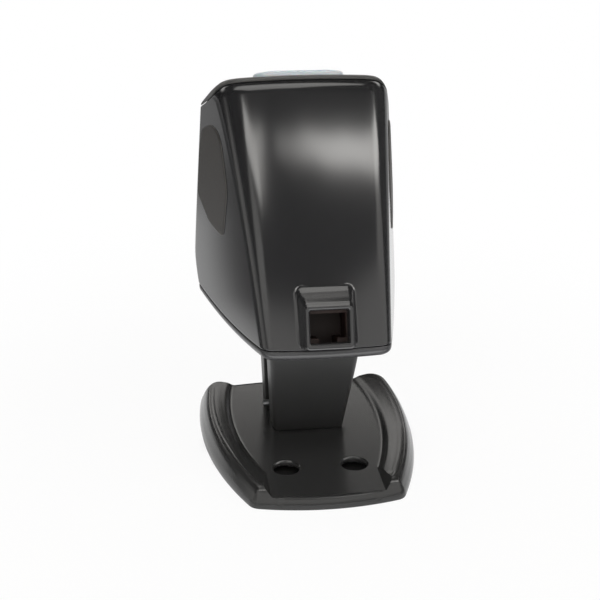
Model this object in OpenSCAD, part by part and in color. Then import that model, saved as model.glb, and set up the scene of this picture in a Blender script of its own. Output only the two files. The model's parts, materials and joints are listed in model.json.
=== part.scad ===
// Presentation barcode scanner: a wedge-shaped reading head that tilts on a desk stand.
// Units are millimetres. The origin is on the desk, under the middle of the whole outline.
// +Z is up, the reading window looks along -Y, and the cable port and neck are seen from +Y.

/* [Head] */
// Width of the head between its side planes at the front
head_w = 75.6; // [70:0.4:82]
// Width of the head between its side planes at the back
head_back_w = 41.2; // [38:0.5:48]
// Depth from the lower back edge to the chin
head_d = 72; // [66:0.5:80]
// Height from the lower back edge to the crown of the top cover
head_h = 93.6; // [86:0.2:102]
// How far the top of the back lies ahead of its foot
back_lean = 27.8; // [24:0.2:32]
// How far the back bows out between its foot and its top
back_bow = 2.4; // [0.5:0.1:4]
// How far the top of the front lies behind the chin
front_lean = 13.5; // [8:0.5:18]
// Height of the chin, as a share of the body between its two seams
chin_share = 0.17; // [0.1:0.01:0.3]
// How far the foot of the front lies behind the chin
chin_tuck = 3; // [1:0.5:5]
// Radius of the back corners at the foot
corner_low_r = 5; // [4:0.5:7]
// Radius of the back corners at the top
corner_top_r = 13; // [9:0.5:17]
// Radius of the front corners
front_corner_r = 2.8; // [2.4:0.1:5]
// Radius of the rolled edge at the top of the back
roll_r = 5; // [4:0.5:7]
// Thickness of the housing walls
wall = 2.2; // [1.8:0.1:2.8]
// Width of the open line at the seams
seam_gap = 0.25; // [0.15:0.05:0.4]

/* [Tray and cover] */
// Height of the tray's band under the lower seam
tray_h = 3.7; // [3.2:0.1:5]
// Slope of the belly where it leaves the back, in degrees
belly_slope = 10.8; // [8:0.2:13]
// Radius of the belly's bow
belly_r = 263; // [230:1:320]
// Height of the top cover's crown over the upper seam
cover_h = 2; // [1.8:0.1:2.6]
// How far the crown falls at the sides of the top
crown_drop = 6.2; // [4.5:0.1:7.5]
// Thickness of the top cover
cover_wall = 1.6; // [1.2:0.1:1.7]

/* [Button] */
// Width of the button
button_w = 31; // [26:0.5:34]
// Depth of the button, front to back
button_d = 14; // [11:0.5:15]
// Distance from the top of the front back to the middle of the button
button_from_front = 13.5; // [11.5:0.5:15.5]
// Height of the button's crown over the top cover
button_rise = 2.3; // [1.4:0.1:3]
// How far the button travels
button_travel = 0.8; // [0.5:0.1:1]

/* [Window] */
// Width of the opening for the bezel
bezel_w = 56; // [50:0.5:60]
// Height of the opening for the bezel
bezel_h = 42; // [36:0.5:44]
// Width of the bezel's frame
bezel_frame = 5; // [4:0.5:7]
// How far the bezel stands proud of the front
bezel_proud = 0.5; // [0.2:0.1:0.9]
// How deep the glass lies behind the front
glass_depth = 4.2; // [3.8:0.1:5]
// Thickness of the glass
glass_t = 1.5; // [1:0.1:2]

/* [Cable port] */
// Width of the port's opening
port_w = 12.6; // [11.8:0.1:13.4]
// Height of the port's opening
port_h = 10.6; // [9.5:0.1:11.5]
// Height of the port's middle over the lower back edge
port_z = 11.3; // [10.9:0.1:12.5]
// Width of the frame round the opening
port_frame = 1.35; // [1:0.05:1.6]
// How far the hood stands behind the lower back edge
hood_out = 4; // [3:0.2:5.5]

/* [Grips] */
// Depth of the recess that a grip lies in
grip_sink = 1.2; // [0.9:0.1:1.4]
// How far a grip stands proud of the side
grip_proud = 0.3; // [0.1:0.05:0.5]

/* [Tilt] */
// How far the head is tipped forward, in degrees
head_tilt = 20.5; // [0:0.5:24]
// Radius of the tilt axle
axle_r = 3; // [2.5:0.1:3.4]
// Radius of the knuckle at the top of the spine
knuckle_r = 8.5; // [7.5:0.1:9]
// Thickness of the bracket's sheet
bracket_t = 1.6; // [1.2:0.1:1.8]
// Thickness of a friction washer
washer_t = 0.9; // [0.7:0.1:1]

/* [Neck] */
// Height of the tilt axle over the desk
hinge_z = 56; // [54:0.5:64]
// Angle at which the neck leans back, in degrees
neck_lean = 17.7; // [12:0.2:20]
// Half the width of the neck at its foot
neck_foot_hw = 12.3; // [11:0.1:13]
// Half the width of the neck at its top
neck_top_hw = 15.8; // [14.5:0.1:15.9]
// How far the neck reaches behind the line of the tilt axle
neck_back = 10; // [9:0.5:10.5]
// How far the neck reaches ahead of that line
neck_front = 13; // [11:0.5:13.5]
// How much further each side of the neck stands out at its front than at its back
neck_flare = 0.9; // [0:0.1:1.2]
// Radius of the neck's outer upright edges
neck_edge_r = 2.2; // [1:0.1:3]
// Wall of the two neck covers
neck_wall = 1.8; // [1.4:0.1:2]
// Width of each groove beside the spine
groove_w = 1.4; // [1:0.1:1.6]
// Thickness of the spine, front to back
spine_t = 4.4; // [4:0.1:4.8]
// Radius of the cross pin at the foot of the neck
cross_pin_r = 1.1; // [0.9:0.1:1.2]

/* [Base] */
// Width of the base
base_w = 74.4; // [70:0.4:82]
// Depth of the base, front to back
base_d = 86.4; // [82:0.2:92]
// Height of the rims beside the neck
rim_h = 8.4; // [7.8:0.1:9.4]
// How far the rims fall towards the near corners
rim_fall = 1.7; // [0.6:0.1:2]
// Height of the floor between the rims
floor_z = 4.2; // [4:0.1:5]
// Thickness of the base's floor
floor_t = 1.5; // [1.2:0.1:1.6]
// Wall of the base's skirt
skirt_wall = 2.2; // [1.8:0.1:2.6]
// Half the width of the opening in the rim at the back, at the floor
lip_hw = 18.8; // [17:0.1:19.5]
// Distance between the two desk screw holes
hole_pitch = 23.3; // [20:0.1:26]
// Distance from the back edge of the base to the desk screw holes
hole_from_back = 21.9; // [19:0.1:23]
// Radius of the desk screw holes
hole_r = 2.25; // [1.8:0.05:2.6]
// Radius of their counterbores
hole_head_r = 4.3; // [3.8:0.05:4.8]
// Thickness of the steel base plate
plate_t = 1.6; // [1.2:0.1:1.6]
// Height of the rubber feet under the plate
foot_h = 1; // [0.8:0.1:1.1]
// Radius of the rubber feet
foot_r = 4.5; // [3.5:0.1:5]

/* [Hidden] */
$fn = 48;

// Running and seating clearances
fit = 0.05;
seat = 0.1;
slide_gap = 0.3;
// A little more than nothing, so that a cut passes its face
eps = 0.02;

function mix(a, b, t) = a + (b - a) * t;
function clamp01(t) = max(0, min(1, t));
function on_circle(c, r, a) = [c[0] + r * cos(a), c[1] + r * sin(a)];
function angle_of(v) = atan2(v[1], v[0]);

// The crossing of two circles that has the higher y (pick = 1) or the lower y (pick = -1)
function crossing(c1, r1, c2, r2, pick) =
    let (
        d = c2 - c1,
        l = norm(d),
        a = (r1 * r1 - r2 * r2 + l * l) / (2 * l),
        h = sqrt(max(0, r1 * r1 - a * a)),
        n = [-d[1], d[0]] / l,
        p = c1 + a * d / l + h * n,
        q = c1 + a * d / l - h * n
    )
    pick * (p[1] - q[1]) > 0 ? p : q;

// Half of a plan outline, from the middle of the back round +X to the middle of the front.
// It is five arcs, each tangent to the next: back, back corner, side, front corner, front.
// An inset shortens every radius, so the inset outline is a parallel of the first one, and
// a corner keeps a small radius however deep the inset goes.
tight_r = 0.3;
n_back = 6;
n_corner = 6;
n_side = 7;
n_front = 6;
function half_plan(back_y, back_r, corner_r, side_c, side_r, fcorner_r, front_y, front_r, inset) =
    let (
        cb = [0, back_y - back_r],
        cf = [0, front_y + front_r],
        r1 = max(corner_r, inset + tight_r),
        r2 = max(fcorner_r, inset + tight_r),
        c1 = crossing(cb, back_r - r1, side_c, side_r - r1, 1),
        c2 = crossing(cf, front_r - r2, side_c, side_r - r2, -1),
        a1 = angle_of(c1 - cb),
        a2 = angle_of(c1 - side_c),
        a3 = angle_of(c2 - side_c),
        a4 = angle_of(c2 - cf)
    )
    concat(
        [for (i = [0:n_back]) on_circle(cb, back_r - inset, mix(90, a1, i / n_back))],
        [for (i = [1:n_corner]) on_circle(c1, r1 - inset, mix(a1, a2, i / n_corner))],
        [for (i = [1:n_side]) on_circle(side_c, side_r - inset, mix(a2, a3, i / n_side))],
        [for (i = [1:n_corner]) on_circle(c2, r2 - inset, mix(a3, a4, i / n_corner))],
        [for (i = [1:n_front]) on_circle(cf, front_r - inset, mix(a4, -90, i / n_front))]
    );
function whole_plan(half) =
    concat(half, [for (i = [len(half) - 2:-1:1]) [-half[i][0], half[i][1]]]);

// A closed solid skinned over rings that all have as many points. The rings run clockwise
// seen from above. Its ends are closed by a fan to their middle, or, for a tube, the last
// ring is joined to the first.
function ring_middle(ring) = [for (k = [0:2])
    let (v = [for (p = ring) p[k]]) (min(v) + max(v)) / 2];
module skin(rings, tube = false, first = undef, last = undef) {
    n = len(rings[0]);
    m = len(rings);
    sides = [for (k = [0:m - (tube ? 1 : 2)], i = [0:n - 1], h = [0, 1])
        let (
            u = (k + 1) % m,
            j = (i + 1) % n,
            a = k * n + i,
            b = k * n + j,
            c = u * n + j,
            d = u * n + i
        )
        h == 0 ? [a, b, c] : [a, c, d]];
    ends = tube ? [] : concat(
        [for (i = [0:n - 1]) [m * n, (i + 1) % n, i]],
        [for (i = [0:n - 1]) [m * n + 1, (m - 1) * n + i, (m - 1) * n + (i + 1) % n]]
    );
    middles = tube ? [] : [
        is_undef(first) ? ring_middle(rings[0]) : first,
        is_undef(last) ? ring_middle(rings[m - 1]) : last
    ];
    polyhedron(points = concat([for (r = rings) each r], middles), faces = concat(sides, ends),
        convexity = 8);
}

// A box with rounded upright edges, standing on the plane z = 0 and centred on it
module round_box(w, d, h, r) {
    linear_extrude(height = h) {
        square([w - 2 * r, d], center = true);
        square([w, d - 2 * r], center = true);
        for (x = [-1, 1], y = [-1, 1])
            translate([x * (w / 2 - r), y * (d / 2 - r)]) circle(r = r);
    }
}

// The head, in its own frame: the origin is the middle of its lower back edge
head_hw = head_w / 2;
back_hw = head_back_w / 2;
side_taper = atan((head_hw - back_hw) / head_d);
side_r = 2000;
side_mid = [mix(back_hw, head_hw, 0.5), -head_d / 2];
side_c = side_mid - side_r * [cos(side_taper), sin(side_taper)];
back_arc_r = 120;
front_arc_r = 220;

// The lower seam climbs from the back to the front; the upper seam falls to both sides
function seam_low(y) = tray_h - tan(belly_slope) * y + y * y / (2 * belly_r);
crown_r = 680;
crown_turn_hw = 30.1;
function seam_high(x) = let (u = max(abs(x), 1))
    head_h - cover_h - u * u / (2 * crown_r) - crown_drop / (1 + pow(crown_turn_hw / u, 20));

// Level t runs from 0 at the lower seam to 1 at the upper one
function front_at(t) = -head_d + (t > chin_share
    ? front_lean * pow((t - chin_share) / (1 - chin_share), 1.15)
    : chin_tuck * pow((chin_share - t) / chin_share, 2));
function corner_at(t) = mix(corner_low_r, corner_top_r, pow(clamp01(t), 1.4));
roll_start = 1 - 0.85 * roll_r / (head_h - cover_h - tray_h);
function roll_at(t) = let (u = 0.85 * roll_r * clamp01((t - roll_start) / (1 - roll_start)))
    roll_r - sqrt(roll_r * roll_r - u * u);
function back_at(t) = -back_lean * t + 4 * back_bow * t * (1 - t) - roll_at(t);
function body_plan(t, inset) = whole_plan(half_plan(
    back_at(t), back_arc_r, corner_at(t), side_c, side_r, front_corner_r, front_at(t), front_arc_r, inset));
function body_ring(t, inset) = [for (p = body_plan(t, inset))
    [p[0], p[1], mix(seam_low(p[1]), seam_high(p[0]), t)]];
function cover_ring(inset, rise) = [for (p = body_plan(1, inset)) [p[0], p[1], seam_high(p[0]) + rise]];
function tray_ring(inset, drop) = [for (p = body_plan(0, inset)) [p[0], p[1], seam_low(p[1]) - drop]];

// Rings drawn in towards a point, which close a crowned top or a bowed belly
cover_mid_y = (back_at(1) + front_at(1)) / 2;
tray_mid_y = (back_at(0) + front_at(0)) / 2;
function cover_fill(share, inset, rise) = [for (p = body_plan(1, inset))
    let (x = p[0] * share, y = mix(cover_mid_y, p[1], share)) [x, y, seam_high(x) + rise]];
function tray_fill(share, inset, drop) = [for (p = body_plan(0, inset))
    let (x = p[0] * share, y = mix(tray_mid_y, p[1], share)) [x, y, seam_low(y) - drop]];

outer_levels = [0, 0.05, 0.11, 0.17, 0.25, 0.37, 0.5, 0.63, 0.75, 0.85, roll_start,
    mix(roll_start, 1, 0.35), mix(roll_start, 1, 0.65), mix(roll_start, 1, 0.85), 1];
inner_levels = [1, roll_start, 0.8, 0.55, 0.3, 0.17, 0.08, 0];

// Insets at which the shell's upper edge and the cover's underside both follow the seam
seam_steps = [0.5, 1.2];

// The outer form of the body between the seams, shrunk by an inset all round
module body_form(inset) {
    skin([for (t = outer_levels) body_ring(t, inset)],
        first = [0, tray_mid_y, seam_low(tray_mid_y)],
        last = [0, cover_mid_y, seam_high(0)]);
}

// The front plane, which carries the window, and a frame on it with +Z out of the glass
front_share = 0.56;
front_s = -front_at(front_share);
front_z = mix(seam_low(-front_s), seam_high(0), front_share);
front_angle = atan(front_lean / (head_h - cover_h - mix(seam_low(-head_d), seam_high(0), chin_share)));
module on_front() {
    translate([0, -front_s, front_z]) rotate([90 - front_angle, 0, 0]) children();
}

// The frame of the tilt axle in the head, and the head's place in the world
axle_s = 26.5;
axle_h = 17.2;
axle_world_y = 7.3;
module in_head() {
    translate([0, axle_world_y, hinge_z]) rotate([head_tilt, 0, 0])
        translate([0, axle_s, -axle_h]) children();
}

// The neck's middle line runs from its foot on the floor to the tilt axle
neck_slope = tan(neck_lean);
neck_foot_y = axle_world_y - (hinge_z - floor_z) * neck_slope;
function neck_y(z) = neck_foot_y + (z - floor_z) * neck_slope;

// Housing of the head

// Outline of a grip, as seen from its side: a share of the head's depth, a height and a radius
grip_circles = [[0.618, 66, 13], [0.5833, 56, 13], [0.507, 43.5, 3.5], [0.7917, 56, 3], [0.7014, 75, 3.5]];
module grip_outline(shrink) {
    hull()
        for (p = grip_circles)
            translate([-p[0] * head_d, p[1]]) circle(r = p[2] - shrink);
}
module grip_prism(side, shrink) {
    rotate([90, 0, 90]) translate([0, 0, side > 0 ? 15 : -60])
        linear_extrude(height = 45) grip_outline(shrink);
}

port_front = hood_out;
port_base_hw = port_w / 2 + port_frame + 1.6;
hood_top_z = port_z + port_h / 2 + port_frame + 6;
hood_low_z = tray_h + seam_gap;
module port_hood() {
    top = port_z + port_h / 2 + port_frame;
    hull() {
        translate([0, port_front, (hood_low_z + top) / 2]) rotate([90, 0, 0])
            round_box(port_w + 2 * port_frame, top - hood_low_z, 0.4, 0.8);
        translate([0, -4.5, (hood_low_z + hood_top_z) / 2]) rotate([90, 0, 0])
            round_box(2 * port_base_hw, hood_top_z - hood_low_z, 3, 1.6);
    }
}

// Four screw bosses stand inside the back shell, and two ledges carry the chassis
rear_boss = [14.5, -9.5];
front_boss = [27.5, 12.5 - head_d];
boss_r = 3;
boss_h = 14;
screw_r = 1.2;
screw_head_r = 2.4;
screw_head_h = 1.4;
screw_len = 12;
screw_sink = 0.6;
module each_boss() {
    for (side = [0, 1], at = [rear_boss, front_boss])
        mirror([side, 0, 0]) translate([at[0], at[1], seam_low(at[1])]) children();
}
module shell_bosses() {
    each_boss() cylinder(r = boss_r, h = boss_h);
    for (side = [0, 1])
        mirror([side, 0, 0]) {
            translate([rear_boss[0] - 0.8, rear_boss[1], seam_low(rear_boss[1]) + 6])
                cube([1.6, 3.9, boss_h - 6]);
            translate([front_boss[0], front_boss[1] - 0.8, seam_low(front_boss[1]) + 3])
                cube([6.5, 1.6, boss_h - 3]);
            translate([20, -38, deck_z - seat - 2]) cube([8, 4, 2]);
        }
}

jack_w = 14.6;
jack_h = 12.6;
jack_d = 12.4;
jack_face_y = -1;
module back_shell() {
    color("#2b2b2d") in_head() difference() {
        union() {
            skin(concat(
                [for (t = outer_levels) body_ring(t, 0)],
                [for (inset = seam_steps) body_ring(1, inset)],
                [for (t = inner_levels) body_ring(t, wall)]), tube = true);
            difference() {
                port_hood();
                body_form(wall * 0.6);
                translate([0, 0, tray_h]) rotate([-belly_slope, 0, 0]) {
                    translate([-20, -30, -20]) cube([40, 30, 20]);
                    translate([-20, -30, -1]) cube([40, 30 - wall, 2]);
                }
            }
            shell_bosses();
        }
        each_boss() translate([0, 0, -1]) cylinder(r = screw_r + fit, h = 1 + screw_len - 2);
        translate([-port_w / 2, -20, port_z - port_h / 2]) cube([port_w, 30, port_h]);
        translate([-jack_w / 2 - seat, -20, port_z - jack_h / 2 - seat])
            cube([jack_w + 2 * seat, 20 + jack_face_y + seat, jack_h + 2 * seat]);
        for (side = [-1, 1])
            difference() {
                grip_prism(side, 0);
                body_form(grip_sink);
            }
        on_front() translate([0, 0, -12]) round_box(bezel_w, bezel_h, 30, 5);
    }
}

module grip(side) {
    color("#3a3836") in_head() intersection() {
        grip_prism(side, 0.2);
        difference() {
            body_form(-grip_proud);
            body_form(grip_sink - seat);
        }
    }
}
module left_grip() { grip(1); }
module right_grip() { grip(-1); }

lip_depth = 2;
lip_t = 1.2;
module top_cover() {
    edge = 0.15;
    lip_out = wall + seat;
    color("#252527") in_head() difference() {
        skin(concat(
            [for (k = [0.3, 0.65]) cover_fill(k, lip_out + lip_t, cover_h - cover_wall)],
            [cover_ring(lip_out + lip_t, cover_h - cover_wall)],
            [cover_ring(lip_out + lip_t, -lip_depth)],
            [cover_ring(lip_out, -lip_depth)],
            [for (inset = [lip_out, seam_steps[1], seam_steps[0], edge]) cover_ring(inset, seam_gap)],
            [cover_ring(edge + 0.25, 0.5 * cover_h)],
            [cover_ring(edge + 0.9, 0.78 * cover_h)],
            [cover_ring(edge + 2, 0.93 * cover_h)],
            [cover_ring(edge + 3.6, cover_h)],
            [for (k = [0.75, 0.5, 0.25]) cover_fill(k, edge + 3.6, cover_h)]
        ), first = [0, cover_mid_y, seam_high(0) + cover_h - cover_wall],
           last = [0, cover_mid_y, seam_high(0) + cover_h]);
        translate([0, -button_s, head_h - 20])
            round_box(button_w + 2 * slide_gap, button_d + 2 * slide_gap, 40, button_d / 2 - 1 + slide_gap);
    }
}

// The tray's lip leans with the walls that it stands in
function tray_lip_ring(inset) = [for (p = body_plan(0.03, inset)) [p[0], p[1], seam_low(p[1]) + lip_depth]];

// The slot in the belly lets the neck pass at both ends of the tilt
slot_back_s = 16.8;
slot_front_s = 50;
slot_hw = neck_top_hw + neck_flare + 0.8;
module bottom_tray() {
    edge = 0.15;
    lip_out = wall + 0.3;
    color("#37373a") in_head() difference() {
        union() {
            skin(concat(
                [for (k = [0.35, 0.7]) tray_fill(k, edge + 3, tray_h)],
                [tray_ring(edge + 3, tray_h)],
                [tray_ring(edge + 1.6, 0.95 * tray_h)],
                [tray_ring(edge + 0.6, 0.75 * tray_h)],
                [tray_ring(edge + 0.1, 0.45 * tray_h)],
                [tray_ring(edge, seam_gap)],
                [tray_ring(lip_out, seam_gap)],
                [tray_lip_ring(lip_out)],
                [tray_lip_ring(lip_out + lip_t)],
                [tray_ring(lip_out + lip_t, tray_h - wall)],
                [for (k = [0.7, 0.35]) tray_fill(k, lip_out + lip_t, tray_h - wall)]
            ), first = [0, tray_mid_y, seam_low(tray_mid_y) - tray_h],
               last = [0, tray_mid_y, seam_low(tray_mid_y) - tray_h + wall]);
            each_boss() translate([0, 0, wall - tray_h - 1])
                cylinder(r = boss_r, h = tray_h - wall + 1 - seat);
        }
        each_boss() translate([0, 0, -tray_h - 1]) {
            cylinder(r = screw_r + 0.15, h = tray_h + 2);
            cylinder(r = screw_head_r + 0.2, h = 1 + screw_sink + screw_head_h + fit);
        }
        translate([-jack_w / 2 - 0.4, -16, port_z - jack_h / 2 - seat]) cube([jack_w + 0.8, 17, 20]);
        translate([0, -(slot_back_s + slot_front_s) / 2, -10])
            round_box(2 * slot_hw, slot_front_s - slot_back_s, 60, 2);
    }
}

// Window and bezel
module front_bezel() {
    color("#1e1e20") in_head() intersection() {
        on_front() translate([0, 0, -glass_depth]) difference() {
            round_box(bezel_w - 2 * slide_gap, bezel_h - 2 * slide_gap, 20, 5 - slide_gap);
            translate([0, 0, -1])
                round_box(bezel_w - 2 * bezel_frame, bezel_h - 2 * bezel_frame, 30, 4);
        }
        body_form(-bezel_proud);
    }
}
glass_w = bezel_w - 2 * bezel_frame + 3;
glass_h = bezel_h - 2 * bezel_frame + 3;
module front_window() {
    color("#401010") in_head() on_front() translate([0, 0, -glass_depth - glass_t])
        round_box(glass_w, glass_h, glass_t, 4);
}
module window_gasket() {
    color("#1a1a1a") in_head() on_front() translate([0, 0, -glass_depth - glass_t]) difference() {
        round_box(glass_w + 2.4, glass_h + 2.4, glass_t, 5);
        translate([0, 0, -1]) round_box(glass_w + 2 * seat, glass_h + 2 * seat, glass_t + 2, 4 + seat);
    }
}

// Button: its rim lies under the top cover and keeps it in
button_s = head_d - front_lean - button_from_front;
button_rim_t = 1.2;
button_low = head_h - cover_wall - slide_gap - 0.7 - button_rim_t;
module top_button() {
    edge_r = button_d / 2 - 1;
    color("#c9d6e0") in_head() translate([0, -button_s, 0]) {
        translate([0, 0, button_low]) round_box(button_w + 2, button_d + 1.6, button_rim_t, edge_r + 0.5);
        intersection() {
            translate([0, 0, button_low + 1]) round_box(button_w, button_d, 8, edge_r);
            translate([0, 0, head_h + button_rise - 90]) rotate([90, 0, 0])
                cylinder(r = 90, h = 40, center = true, $fn = 160);
        }
    }
}

// Tilt hinge
ear_x = neck_top_hw + washer_t + 2 * seat;
bracket_top = axle_h + knuckle_r + 2.2;
bridge_hw = 22.4;
deck_z = bracket_top + bracket_t + seat;
deck_t = 2;
module each_deck_screw() {
    for (x = [-20.3, 20.3])
        translate([x, -axle_s - 3.4, deck_z + deck_t]) children();
}
module hinge_bracket() {
    color("#b8bcc0") in_head() difference() {
        union() {
            for (side = [-1, 1])
                translate([side * (ear_x + bracket_t / 2) - bracket_t / 2, -axle_s, 0]) {
                    translate([0, 0, axle_h]) rotate([0, 90, 0]) cylinder(r = 6, h = bracket_t);
                    translate([0, -6, axle_h]) cube([bracket_t, 12, bracket_top - axle_h + bracket_t]);
                }
            translate([-bridge_hw, -axle_s - 6, bracket_top]) cube([2 * bridge_hw, 12, bracket_t]);
        }
        translate([-30, -axle_s, axle_h]) rotate([0, 90, 0]) cylinder(r = axle_r + fit, h = 60);
        each_deck_screw() translate([0, 0, -10]) cylinder(r = screw_r + 0.15, h = 20);
    }
}
axle_head_t = 1.4;
nut_t = 2.4;
module tilt_axle() {
    reach = ear_x + bracket_t;
    color("#9a9ea2") in_head() translate([0, -axle_s, axle_h]) rotate([0, 90, 0]) {
        translate([0, 0, -reach - axle_head_t - seat]) cylinder(r = 4.4, h = axle_head_t);
        translate([0, 0, -reach - seat - eps]) cylinder(r = axle_r, h = 2 * reach + nut_t + 2 * seat + 0.6);
    }
}
module axle_nut() {
    color("#c8ccd0") in_head() translate([ear_x + bracket_t + seat, -axle_s, axle_h]) rotate([0, 90, 0])
        difference() {
            cylinder(r = 5, h = nut_t, $fn = 6);
            translate([0, 0, -1]) cylinder(r = axle_r + fit, h = nut_t + 2);
        }
}
module friction_washers() {
    color("#d0d0c8") in_head() for (side = [-1, 1])
        translate([side * (neck_top_hw + seat + washer_t / 2) - washer_t / 2, -axle_s, axle_h])
            rotate([0, 90, 0]) difference() {
                cylinder(r = 6.5, h = washer_t);
                translate([0, 0, -1]) cylinder(r = axle_r + fit, h = washer_t + 2);
            }
}

// Inside of the head
deck_hw = 22.8;
frame_from_chin = 26;
frame_y = frame_from_chin - head_d;
frame_t = 2;
deck_front = frame_y - frame_t;
deck_back = -20.4;
switch_h = 3.5;
board_t = 1.2;
switch_z = button_low - button_travel - 0.2 - switch_h;
frame_top = switch_z - board_t - seat;
rib_top = 76;
module chassis() {
    color("#55585c") in_head() difference() {
        union() {
            translate([-deck_hw, deck_front, deck_z]) cube([2 * deck_hw, deck_back - deck_front, deck_t]);
            translate([-19, frame_y - frame_t, deck_z]) cube([38, frame_t, frame_top - deck_z]);
            translate([-14, -button_s - 6, frame_top - 2]) cube([28, 12, 2]);
            for (side = [-1, 1])
                translate([side * 18 - 1, frame_y - eps, deck_z]) cube([2, 13.5, rib_top - deck_z]);
        }
        translate([0, frame_y + 1, imager_z]) rotate([90, 0, 0]) cylinder(r = barrel_r + 0.6, h = 6);
        each_deck_screw() translate([0, 0, -10]) cylinder(r = screw_r + 0.15, h = 20);
    }
}
imager_z = front_z;
barrel_r = 6.5;
module imager_board() {
    color("#1d5c35") in_head() translate([-15, frame_y + seat, imager_z - 13]) cube([30, board_t, 26]);
}
barrel_len = 12;
module lens_barrel() {
    color("#202022") in_head() translate([0, frame_y, imager_z]) rotate([90, 0, 0]) difference() {
        cylinder(r = barrel_r, h = barrel_len);
        translate([0, 0, 1]) cylinder(r = barrel_r - 1.2, h = barrel_len);
    }
}
module lens() {
    color("#a8c8d8") in_head() translate([0, frame_y - barrel_len + 4, imager_z]) rotate([90, 0, 0])
        intersection() {
            cylinder(r = barrel_r - 1.2 - seat, h = 3);
            translate([0, 0, -6]) sphere(r = 9);
        }
}
led_plane_y = frame_y - frame_t - seat;
module led_board() {
    color("#1d5c35") in_head() translate([0, led_plane_y, imager_z]) rotate([90, 0, 0]) difference() {
        translate([-19, -15, 0]) cube([38, 30, board_t]);
        translate([0, 0, -1]) cylinder(r = barrel_r + 0.6, h = 4);
    }
}
module leds() {
    color("#f4f0d8") in_head() for (x = [-15.5, -10.5, 10.5, 15.5], z = [-9, 9])
        translate([x, led_plane_y - board_t, imager_z + z]) rotate([90, 0, 0]) {
            translate([-1.5, -1.5, 0]) cube([3, 3, 0.8]);
            translate([0, 0, 0.8 - eps]) cylinder(r1 = 1.3, r2 = 1, h = 0.8, $fn = 24);
        }
}
module main_board() {
    color("#1d5c35") in_head() translate([-16, frame_y + 15, deck_z + deck_t + seat])
        cube([32, board_t, 38]);
}
jack_board_y = jack_face_y - jack_d;
module jack_board() {
    color("#1d5c35") in_head() translate([-13, jack_board_y - board_t - seat, 8.5]) cube([26, board_t, 17]);
}
module modular_jack() {
    color("#2a2320") in_head() translate([-jack_w / 2, jack_board_y, port_z - jack_h / 2]) difference() {
        cube([jack_w, jack_d, jack_h]);
        translate([(jack_w - 11.8) / 2, 2, (jack_h - 8) / 2]) cube([11.8, jack_d, 8]);
        translate([(jack_w - 6) / 2, 2, -1]) cube([6, jack_d, 3.4]);
    }
}
module button_board() {
    color("#1d5c35") in_head() translate([-14, -button_s - 6, switch_z - board_t]) cube([28, 12, board_t]);
}
module tact_switch() {
    color("#8f9498") in_head() translate([0, -button_s, switch_z]) {
        translate([-3, -3, 0]) cube([6, 6, switch_h - 0.6]);
        cylinder(r = 1.7, h = switch_h);
    }
}
module buzzer() {
    color("#19191b") in_head() translate([0, frame_y + 8, deck_z + deck_t + seat])
        cylinder(r = 6, h = 6);
}
module case_screw() {
    cylinder(r = screw_head_r, h = screw_head_h);
    cylinder(r = screw_r, h = screw_len);
}
module case_screws() {
    color("#8c9094") in_head() {
        each_boss() translate([0, 0, screw_sink - tray_h]) case_screw();
        each_deck_screw() translate([0, 0, screw_head_h + fit]) rotate([180, 0, 0]) case_screw();
    }
}

// Stand

base_back_y = 48.4;
base_front_y = base_back_y - base_d;
base_hw = base_w / 2;
base_side_r = 125;
base_side_y = mix(base_front_y, base_back_y, 0.345);
base_side_c = [base_hw - base_side_r, base_side_y];
base_back_r = 91;
base_front_r = 160;
base_corner_r = 4.5;
base_far_corner_r = 10;
skirt_z = 0.2;
function base_plan(inset) = whole_plan(half_plan(base_back_y, base_back_r, base_corner_r, base_side_c,
    base_side_r, base_far_corner_r, base_front_y, base_front_r, inset));
function base_ring(inset, z) = [for (p = base_plan(inset)) [p[0], p[1], z]];

// Height of the rims, which fall towards the near corners
function rim_top(y) = rim_h - rim_fall * pow(clamp01((y - 10) / 32), 1.5);
function rim_ring(inset, share, drop) = [for (p = base_plan(inset))
    [p[0], p[1], mix(skirt_z, rim_top(p[1]), share) - drop]];
module rim_block(shrink, drop) {
    skin([
        base_ring(shrink, skirt_z),
        base_ring(0.35 + shrink, 2.2),
        rim_ring(1.1 + shrink, 0.53, 0.5 * drop),
        rim_ring(1.8 + shrink, 0.8, drop),
        rim_ring(2.4 + shrink, 0.94, drop),
        rim_ring(3.2 + shrink, 1, drop)
    ]);
}

// A bowl's ring: its side runs parallel to the base's side, its back lies ahead of the base's
// back, and its front is open. Its height is a share of the rim's height over the floor.
bowl_out_y = base_front_y - 20;
function bowl_ring(side_in, back_in, corner, share, drop) = [for (p = whole_plan(half_plan(
    base_back_y - back_in, base_back_r, corner, base_side_c, base_side_r - side_in, corner,
    bowl_out_y, base_front_r, 0))) [p[0], p[1], mix(floor_z, rim_top(p[1]), share) - drop]];
module bowl(grow, drop) {
    skin([
        bowl_ring(11.4 - grow, 10 - grow, 2.5 + grow, 0, drop),
        bowl_ring(11 - grow, 9.7 - grow, 2.7 + grow, 0.07, drop),
        bowl_ring(10 - grow, 9 - grow, 3.2 + grow, 0.38, drop),
        bowl_ring(9.3 - grow, 8.5 - grow, 3.5 + grow, 0.47, drop),
        bowl_ring(6.2 - grow, 6.6 - grow, 4 + grow, 0.78, drop),
        bowl_ring(4.2 - grow, 5 - grow, 4 + grow, 0.95, drop),
        bowl_ring(3.2 - grow, 4.4 - grow, 4 + grow, 1, drop),
        bowl_ring(2.2 - grow, 3.8 - grow, 4 + grow, 1.1, drop),
        bowl_ring(2.2 - grow, 3.8 - grow, 4 + grow, 3, 0)
    ]);
}

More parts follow.
